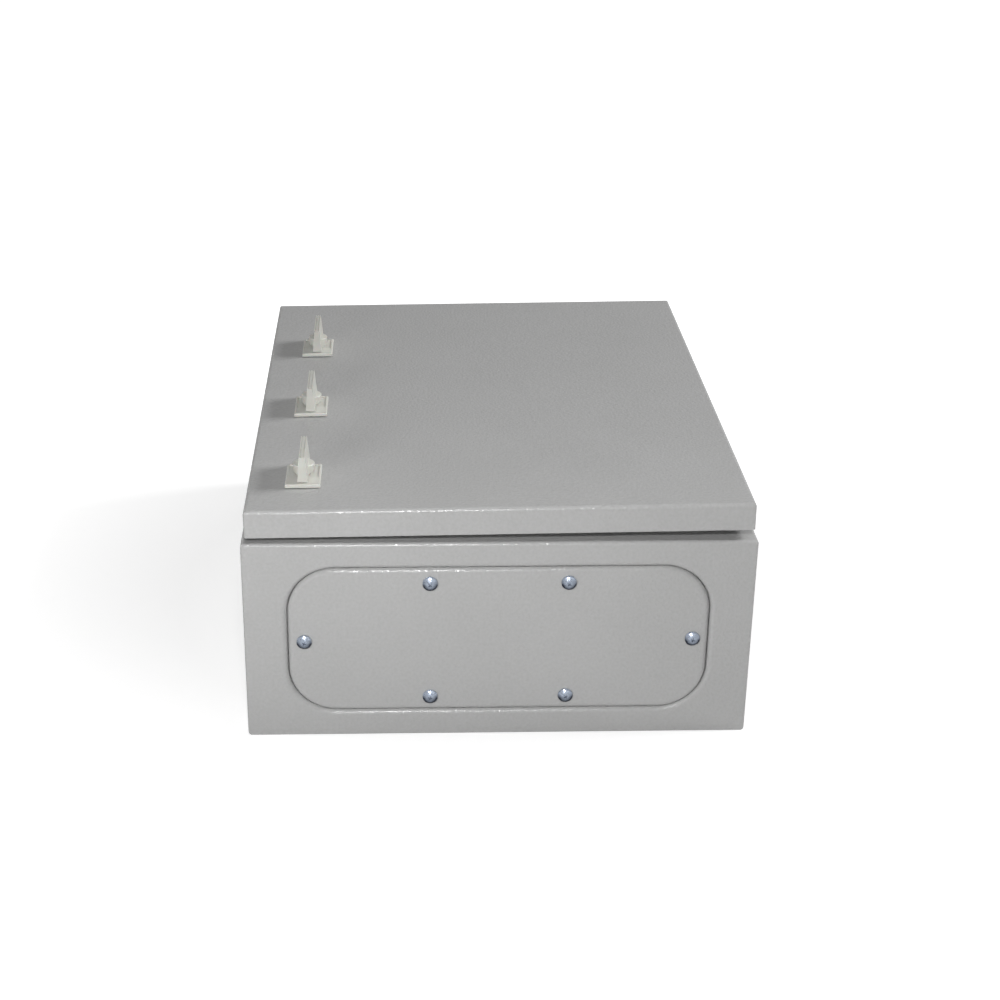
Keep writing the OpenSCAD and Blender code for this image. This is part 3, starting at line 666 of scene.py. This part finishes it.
# %% [markdown]
# ## Screws of the gland plate
# Two screws sit along each long edge of the plate and one at each end. The plate's own box says where: the
# edges are an inset away. The screws point out of the cabinet's end, so the tree tips them by a right angle,
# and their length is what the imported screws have.

# %% Gland screws
SCREW_INSET = 12.5 * MM
SCREW_PITCH_X = 108 * MM
M6_PITCH = 1.0 * MM

plate_low, plate_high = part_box("gland_plate")
screw_low, screw_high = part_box("gland_screws")
plate_mid = (plate_low + plate_high) / 2
plate_face = plate_low.y
row_z = (plate_high.z - plate_low.z) / 2 - SCREW_INSET
end_x = (plate_high.x - plate_low.x) / 2 - SCREW_INSET
spots = [(side * SCREW_PITCH_X / 2, row * row_z) for side in (-1, 1) for row in (-1, 1)]
spots += [(side * end_x, 0) for side in (-1, 1)]
gland_points = [(plate_mid.x + x, plate_face, plate_mid.z + z) for x, z in spots]

gland_screws = grow("gland_screws_threaded", fastener_tree, points_mesh("gland_spots", gland_points), {
    "Head": screw_head, "Radius": SCREW_R, "Pitch": M6_PITCH, "Length": screw_high.y - plate_face,
    "Tip": (math.pi / 2, 0, 0), "Seed": 4, "Finish": make_screw_zinc(plate_face),
})
mark_low_side(gland_screws.data, gland_points)
keep(gland_screws, "cabinet", "zinc_plate", "gland_screws")
bpy.data.objects.remove(screw_head)

# %% [markdown]
# ## Welded studs in the body
# The mounting plate hangs on four studs that are welded to the back, and an earth stud stands beside it. They
# use the same tree without a head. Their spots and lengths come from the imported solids' boxes, so they stand
# in the nuts that are already there.

# %% Studs in the body
M8_PITCH = 1.25 * MM
STUD_R = 3.95 * MM


def stud_tops(node, radius):
    """Tops of the studs in a node, from the corners of its box, and their length."""
    low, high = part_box(node)
    xs = sorted({round(low.x + radius, 6), round(high.x - radius, 6)})
    ys = sorted({round(low.y + radius, 6), round(high.y - radius, 6)})
    return [(x, y, high.z) for x in xs for y in ys], high.z - low.z


mounting_tops, mounting_length = stud_tops("mounting_studs", STUD_R)
mounting_studs = grow("mounting_studs_threaded", fastener_tree, points_mesh("stud_spots", mounting_tops), {
    "Radius": STUD_R, "Pitch": M8_PITCH, "Length": mounting_length, "Seed": 7, "Finish": zinc_plate,
})
keep(mounting_studs, "cabinet", "zinc_plate", "mounting_studs")

earth_low, earth_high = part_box("earth_stud")
earth_mid = (earth_low + earth_high) / 2
earth_top = (earth_mid.x, earth_mid.y, earth_high.z)
earth_length = earth_high.z - earth_low.z
earth_stud = grow("earth_stud_threaded", fastener_tree, points_mesh("earth_spot", [earth_top]), {
    "Radius": STUD_R, "Pitch": M8_PITCH, "Length": earth_length, "Seed": 2, "Finish": zinc_plate,
})
keep(earth_stud, "cabinet", "zinc_plate", "earth_stud")

# %% [markdown]
# ## Earth stud on the door
# The door has an earth stud too, a size smaller. The door leans a little on its hinges, and the axis of a
# latch tells by how much. The stud is therefore made upright, in the place that it would have on a level
# door, and the finished mesh is turned about the hinge with the door.

# %% Stud on the door
hinge_point = Vector(joints["door_hinge"]["pos_m"])
door_normal = -Vector(joints["latch_1_turn"]["axis"]).normalized()
lean = math.asin(door_normal.x)
to_hinge = Matrix.Translation(hinge_point)
on_door = to_hinge @ Matrix.Rotation(lean, 4, "Y") @ to_hinge.inverted()

DOOR_STUD_R = 2.95 * MM
DOOR_STUD_L = 20 * MM
door_stud_low, door_stud_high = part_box("door_earth_stud")
door_stud_mid = on_door.inverted() @ ((door_stud_low + door_stud_high) / 2)
door_stud_top = door_stud_mid + Vector((0, 0, DOOR_STUD_L / 2))
door_spot = points_mesh("door_earth_spot", [door_stud_top])
door_earth_stud = grow("door_earth_stud_threaded", fastener_tree, door_spot, {
    "Radius": DOOR_STUD_R, "Pitch": M6_PITCH, "Length": DOOR_STUD_L, "Seed": 5, "Finish": zinc_plate,
}, on_door)
keep(door_earth_stud, "door", "zinc_plate", "door_earth_stud")
print(f"The door leans by {math.degrees(lean):.2f} degrees")

# %% [markdown]
# ## Poured foam
# A foam seal is a bead that a nozzle pours along a track, so it runs round in one closed loop with round
# corners and its free side domes up. A tree sweeps a rounded section along a filleted rectangle, then
# nudges the skin with noise, because poured foam is never quite even. A stack of modifiers could do the
# same, but the tree keeps every size as a named input, so that two seals can share it.

# %% Foam tree
TRACK_STEP = 4 * MM
CORNER_STEPS = 16
SECTION_STEPS = 6
RIPPLE = 9 * MM


def rounded_rectangle(tree, width, height, corner, steps):
    """A rectangle as a curve, with round corners."""
    curve = add_node(tree, "GeometryNodeCurvePrimitiveQuadrilateral", {
        "Width": width, "Height": height,
    }).outputs[0]
    return add_node(tree, "GeometryNodeFilletCurve", {
        "Curve": curve, "Count": steps, "Radius": corner,
    }, mode="POLY").outputs[0]


def make_foam_tree():
    tree, given = start_tree("poured_foam", [
        ("Track width", "Float"), ("Track height", "Float"), ("Track corner", "Float"),
        ("Bead width", "Float"), ("Bead height", "Float"), ("Bead round", "Float"),
        ("Unevenness", "Float"), ("Finish", "Material"),
    ])
    track_sides = given["Track width"], given["Track height"]
    track = rounded_rectangle(tree, *track_sides, given["Track corner"], CORNER_STEPS)
    track = add_node(tree, "GeometryNodeResampleCurve", {
        "Curve": track, "Length": TRACK_STEP,
    }, mode="LENGTH").outputs[0]
    bead_sides = given["Bead width"], given["Bead height"]
    section = rounded_rectangle(tree, *bead_sides, given["Bead round"], SECTION_STEPS)
    bead = add_node(tree, "GeometryNodeCurveToMesh", {"Curve": track, "Profile Curve": section}).outputs[0]
    ripple = add_node(tree, "ShaderNodeTexNoise", {"Scale": 1 / RIPPLE, "Detail": 1.0}).outputs["Fac"]
    ripple = combine(tree, "MULTIPLY", combine(tree, "SUBTRACT", ripple, 0.5), given["Unevenness"])
    normal = tree.nodes.new("GeometryNodeInputNormal").outputs[0]
    nudge = add_node(tree, "ShaderNodeVectorMath", {0: normal, "Scale": ripple}, operation="SCALE").outputs[0]
    bead = add_node(tree, "GeometryNodeSetPosition", {"Geometry": bead, "Offset": nudge}).outputs[0]
    bead = add_node(tree, "GeometryNodeSetShadeSmooth", {"Geometry": bead}).outputs[0]
    end_tree(tree, bead, given["Finish"])
    return tree


foam_tree = make_foam_tree()
print("Tree ready:", foam_tree.name)

# %% [markdown]
# ## Door seal
# The door's bead is poured inside the door, and the rain edge of the body presses into it. Its free side is
# level, as the rain edge is, while the door that carries it leans. So the bead is swept level, and then its
# top is sloped until it meets the door.

# %% Door seal
SEAL_WIDTH = 12 * MM
SEAL_CORNER = 9 * MM
SEAL_ROUND = 4 * MM
SEAL_UNEVENNESS = 0.5 * MM
seal_low, seal_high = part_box("door_gasket")
seal_height = seal_high.z - seal_low.z
seal_mid = (seal_low + seal_high) / 2

door_seal = grow("door_seal_poured", foam_tree, points_mesh("seal_base", []), {
    "Track width": seal_high.x - seal_low.x - SEAL_WIDTH,
    "Track height": seal_high.y - seal_low.y - SEAL_WIDTH,
    "Track corner": SEAL_CORNER, "Bead width": SEAL_WIDTH, "Bead height": seal_height,
    "Bead round": SEAL_ROUND, "Unevenness": SEAL_UNEVENNESS, "Finish": black_foam,
}, Matrix.Translation(seal_mid))


def press_to_door(mesh):
    """Slopes the top of the bead to the leaning door and leaves its free side level."""
    slope = math.tan(lean)
    for vertex in mesh.vertices:
        share = (vertex.co.z - seal_low.z) / seal_height
        vertex.co.z += share * slope * (seal_high.x - vertex.co.x)


press_to_door(door_seal.data)
keep(door_seal, "door", "black_foam", "door_gasket")

# %% [markdown]
# ## Gland seal
# Under the gland plate lies a flat foam gasket, squeezed even by the screws. It takes the same tree with a
# wide, flat section and no unevenness, and is turned upright into the cabinet's end.

# %% Gland seal
GLAND_SEAL_WIDTH = 18 * MM
GLAND_SEAL_CORNER = 24.5 * MM
GLAND_SEAL_ROUND = 0.8 * MM
gland_low, gland_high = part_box("gland_gasket")
gland_mid = (gland_low + gland_high) / 2
facing_out = Matrix.Translation(gland_mid) @ Matrix.Rotation(math.pi / 2, 4, "X")

gland_seal = grow("gland_seal_poured", foam_tree, points_mesh("gland_seal_base", []), {
    "Track width": gland_high.x - gland_low.x - GLAND_SEAL_WIDTH,
    "Track height": gland_high.z - gland_low.z - GLAND_SEAL_WIDTH, "Track corner": GLAND_SEAL_CORNER,
    "Bead width": GLAND_SEAL_WIDTH, "Bead height": gland_high.y - gland_low.y,
    "Bead round": GLAND_SEAL_ROUND, "Unevenness": 0.0, "Finish": black_foam,
}, facing_out)
keep(gland_seal, "cabinet", "black_foam", "gland_gasket")

# %% [markdown]
# ## One latch seal
# Under each escutcheon sits a thin rubber seal that keeps rain out of the latch's hole. Squeezed between two
# faces, its edge bulges a little. It is a ring lofted from the round hole to a rectangle with small corners,
# whose middle lies off the latch axis as the escutcheon's does. A superellipse gives that rectangle in one
# formula, with as many points as the hole has.

# %% One seal
SEAL_T = 0.6 * MM
SEAL_BULGE = 0.2 * MM
SEAL_HOLE_R = 9.3 * MM
SEAL_SQUARENESS = 8
SEAL_STEPS = 96
seal_turns = [2 * math.pi * step / SEAL_STEPS for step in range(SEAL_STEPS)]


def box_outline(width, length, middle, height):
    """A rectangle with small round corners, as a superellipse of even turns, its middle set along Y."""
    loop = []
    for turn in seal_turns:
        along, across = math.cos(turn), math.sin(turn)
        share = abs(along * 2 / width) ** SEAL_SQUARENESS + abs(across * 2 / length) ** SEAL_SQUARENESS
        reach = share ** (-1 / SEAL_SQUARENESS)
        loop.append((reach * along, middle + reach * across, height))
    return loop


def hole_outline(height):
    """The round hole that the latch goes through."""
    return [(SEAL_HOLE_R * math.cos(turn), SEAL_HOLE_R * math.sin(turn), height) for turn in seal_turns]


def loft_ring(name, loops):
    """Joins loops of points into a closed ring, the last loop to the first."""
    shape = bmesh.new()
    rings = [[shape.verts.new(point) for point in loop] for loop in loops]
    for lower, upper in zip(rings, rings[1:] + rings[:1]):
        for step in range(len(lower)):
            following = (step + 1) % len(lower)
            shape.faces.new((lower[step], lower[following], upper[following], upper[step]))
    bmesh.ops.recalc_face_normals(shape, faces=shape.faces)
    mesh = bpy.data.meshes.new(name)
    shape.to_mesh(mesh)
    shape.free()
    return mesh


seal_box_low, seal_box_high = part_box("latch_seal_1")
seal_w = seal_box_high.x - seal_box_low.x
seal_l = seal_box_high.y - seal_box_low.y
seal_y = (seal_box_low.y + seal_box_high.y) / 2 - joints["latch_1_turn"]["pos_m"][1]
one_seal = bpy.data.objects.new("one_seal", loft_ring("one_seal", [
    hole_outline(0),
    box_outline(seal_w - SEAL_BULGE, seal_l - SEAL_BULGE, seal_y, 0),
    box_outline(seal_w + SEAL_BULGE, seal_l + SEAL_BULGE, seal_y, SEAL_T / 3),
    box_outline(seal_w + SEAL_BULGE, seal_l + SEAL_BULGE, seal_y, SEAL_T * 2 / 3),
    box_outline(seal_w - SEAL_BULGE, seal_l - SEAL_BULGE, seal_y, SEAL_T),
    hole_outline(SEAL_T),
]))
bpy.context.scene.collection.objects.link(one_seal)
print(f"One seal: {seal_w / MM:.1f} by {seal_l / MM:.1f} mm, {len(one_seal.data.polygons)} faces")

# %% [markdown]
# ## A seal under each latch
# The three seals are alike, so a tree sets a copy of the one seal on each latch axis, leaning with the door.
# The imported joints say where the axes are.

# %% Seals on the latches
LATCHES = (1, 2, 3)


def make_copies_tree():
    tree, given = start_tree("copies_on_points", [
        ("Piece", "Object"), ("Turn", "Vector"), ("Finish", "Material"),
    ])
    shape = add_node(tree, "GeometryNodeObjectInfo", {"Object": given["Piece"]}).outputs["Geometry"]
    copies = add_node(tree, "GeometryNodeInstanceOnPoints", {
        "Points": given["Base"], "Instance": shape, "Rotation": given["Turn"],
    }).outputs[0]
    end_tree(tree, copies, given["Finish"])
    return tree


latch_points = [joints[f"latch_{number}_turn"]["pos_m"] for number in LATCHES]
latch_seals = grow("latch_seals_pressed", make_copies_tree(), points_mesh("latch_spots", latch_points), {
    "Piece": one_seal, "Turn": (0, lean, 0), "Finish": black_rubber,
})
keep(latch_seals, "door", "black_foam", *[f"latch_seal_{number}" for number in LATCHES])
bpy.data.objects.remove(one_seal)

# %% [markdown]
# ## The camera
# The picture was taken from in front of the gland plate and a little above the door, with a long lens. The
# numbers below were fitted to the edges of the cabinet: a target point in the plane of the end panel, a
# distance and three angles. The picture is a part of a larger one, so its middle isn't the lens's axis, and a
# small lens shift stands for that.

# %% Camera
LENS_MM, SENSOR_MM = 64.74, 36
LENS_SHIFT = (0.0563, -0.0250)
VIEW_TARGET = Vector((-0.0438, -0.2500, 0.2275))
VIEW_DISTANCE = 1.3577
VIEW_ELEVATION = math.radians(23.945)
VIEW_AZIMUTH = math.radians(-1.528)
VIEW_ROLL = math.radians(0.226)

back = Vector((
    math.sin(VIEW_AZIMUTH) * math.cos(VIEW_ELEVATION),
    -math.cos(VIEW_AZIMUTH) * math.cos(VIEW_ELEVATION),
    math.sin(VIEW_ELEVATION),
))
level = Vector((math.cos(VIEW_AZIMUTH), math.sin(VIEW_AZIMUTH), 0))
upright = back.cross(level)
right = math.cos(VIEW_ROLL) * level + math.sin(VIEW_ROLL) * upright
up = math.cos(VIEW_ROLL) * upright - math.sin(VIEW_ROLL) * level
facing = Matrix((right, up, back)).transposed().to_4x4()

camera_data = bpy.data.cameras.new("portrait_camera")
camera_data.lens = LENS_MM
camera_data.sensor_width = SENSOR_MM
camera_data.shift_x, camera_data.shift_y = LENS_SHIFT
camera = bpy.data.objects.new("portrait_camera", camera_data)
bpy.context.scene.collection.objects.link(camera)
camera.matrix_world = Matrix.Translation(VIEW_TARGET + back * VIEW_DISTANCE) @ facing
bpy.context.scene.camera = camera
print("Camera at", [round(value, 3) for value in camera.matrix_world.translation])

# %% [markdown]
# ## Floor
# The cabinet stands out against plain white. The floor is pale and takes the cabinet's shadow. To the
# camera a white glow is added that grows away from the cabinet, so that the floor meets the white background
# with no seam. Light Path shuts the glow off for the rays that light things, and mirror rays see only a share
# of it, or the whole coat would gleam.

# %% Floor
WHITE = (1, 1, 1, 1)
FLOOR_GREY = (0.62, 0.62, 0.62, 1)
FLOOR_SIZE = 30.0
FLOOR_DROP = 0.3 * MM
GLOW_NEAR, GLOW_FAR = 0.62, 1.0
GLOW_START, GLOW_END = 0.28, 0.62
FLOOR_MIRROR, SKY_MIRROR = 0.2, 0.5


def seen_rays(tree, mirror_share):
    """1 for rays from the camera or through glass, a share for mirror rays, 0 for rays that light things."""
    path = add_node(tree, "ShaderNodeLightPath").outputs
    mirrored = combine(tree, "MULTIPLY", path["Is Glossy Ray"], mirror_share)
    straight = combine(tree, "MAXIMUM", path["Is Camera Ray"], path["Is Transmission Ray"])
    return combine(tree, "MAXIMUM", straight, mirrored)


def make_floor_finish():
    material, tree, shader, place = start_finish(
        "studio_floor", Base_Color=FLOOR_GREY, Roughness=0.9, Specular_IOR_Level=0.0, Emission_Color=WHITE
    )
    away = add_node(tree, "ShaderNodeVectorMath", {0: place}, operation="LENGTH").outputs["Value"]
    glow = spread(tree, away, GLOW_START, GLOW_END, GLOW_NEAR, GLOW_FAR)
    strength = combine(tree, "MULTIPLY", seen_rays(tree, FLOOR_MIRROR), glow)
    tree.links.new(strength, shader.inputs["Emission Strength"])
    return material


half = FLOOR_SIZE / 2
corners = [(-half, -half, 0), (half, -half, 0), (half, half, 0), (-half, half, 0)]
floor_mesh = bpy.data.meshes.new("studio_floor")
floor_mesh.from_pydata(corners, [], [(0, 1, 2, 3)])
floor_mesh.materials.append(make_floor_finish())
floor = bpy.data.objects.new("studio_floor", floor_mesh)
floor.location.z = -FLOOR_DROP
bpy.context.scene.collection.objects.link(floor)
print(f"Floor {FLOOR_SIZE:.0f} m across, with its glow from {GLOW_START} to {GLOW_END} m")

# %% [markdown]
# ## White background
# The world is what the camera sees past the floor. It follows the same rule as the floor: white to the
# camera, dimmer to mirror rays, and almost dark to the rays that light the cabinet, so that the lamps alone
# shape it.

# %% World
AMBIENT = 0.01
world = bpy.data.worlds.new("white_studio")
world.use_nodes = True
bpy.context.scene.world = world
sky = world.node_tree
sky.nodes.clear()
dim = add_node(sky, "ShaderNodeBackground", {"Color": WHITE, "Strength": AMBIENT}).outputs[0]
white = add_node(sky, "ShaderNodeBackground", {"Color": WHITE, "Strength": 1.0}).outputs[0]
mixed = add_node(sky, "ShaderNodeMixShader", {0: seen_rays(sky, SKY_MIRROR), 1: dim, 2: white}).outputs[0]
add_node(sky, "ShaderNodeOutputWorld", {"Surface": mixed})
print(f"White world, ambient light {AMBIENT}")

# %% [markdown]
# ## Lamps
# A broad window high on the right throws the latches' soft shadows to the left. A small lamp above the end
# panel, two thirds of the way to the camera, draws the bright lines along the folds and along the gland
# plate's edge, and two more by the camera and at the front right model the screw heads. A low fill on the
# left evens out the end panel and a ceiling panel the door. One more panel, at the far left and lower than
# the door, lights the latch side and the far end, which only other angles show. These fills are kept out of
# mirror reflections.

# %% Lamps
LAMPS = {
    "window_right": {"at": (2.9, 0.5, 2.2), "size": (1.4, 1.0), "watts": 88.0, "glints": True},
    "lamp_high": {"at": (-0.12, -1.10, 0.88), "size": (0.12, 0.10), "watts": 5.2, "glints": True},
    "fill_low": {"at": (-0.60, -0.95, 0.38), "size": (0.3, 0.2), "watts": 2.5, "glints": False},
    "flash": {"at": (-0.08, -1.75, 0.68), "size": (0.14, 0.10), "watts": 2.2, "glints": True},
    "lamp_front_right": {"at": (0.95, -1.40, 0.70), "size": (0.14, 0.12), "watts": 0.5, "glints": True},
    "ceiling": {"at": (-0.3, 0.1, 1.9), "size": (1.2, 0.9), "watts": 1.6, "glints": False},
    "fill_far_left": {"at": (-1.3, 1.3, 0.10), "size": (0.5, 0.14), "watts": 13.0, "glints": False},
}
LAMP_AIM = Vector((0, -0.1, 0.15))

for name, lamp in LAMPS.items():
    lamp_data = bpy.data.lights.new(name, "AREA")
    lamp_data.shape = "RECTANGLE"
    lamp_data.size, lamp_data.size_y = lamp["size"]
    lamp_data.energy = lamp["watts"]
    lamp_object = bpy.data.objects.new(name, lamp_data)
    lamp_object.location = lamp["at"]
    lamp_object.rotation_euler = (LAMP_AIM - lamp_object.location).to_track_quat("-Z", "Y").to_euler()
    lamp_object.visible_camera = False
    lamp_object.visible_glossy = lamp["glints"]
    bpy.context.scene.collection.objects.link(lamp_object)
bpy.context.scene.view_settings.view_transform = "Standard"
print(f"{len(LAMPS)} lamps lit")
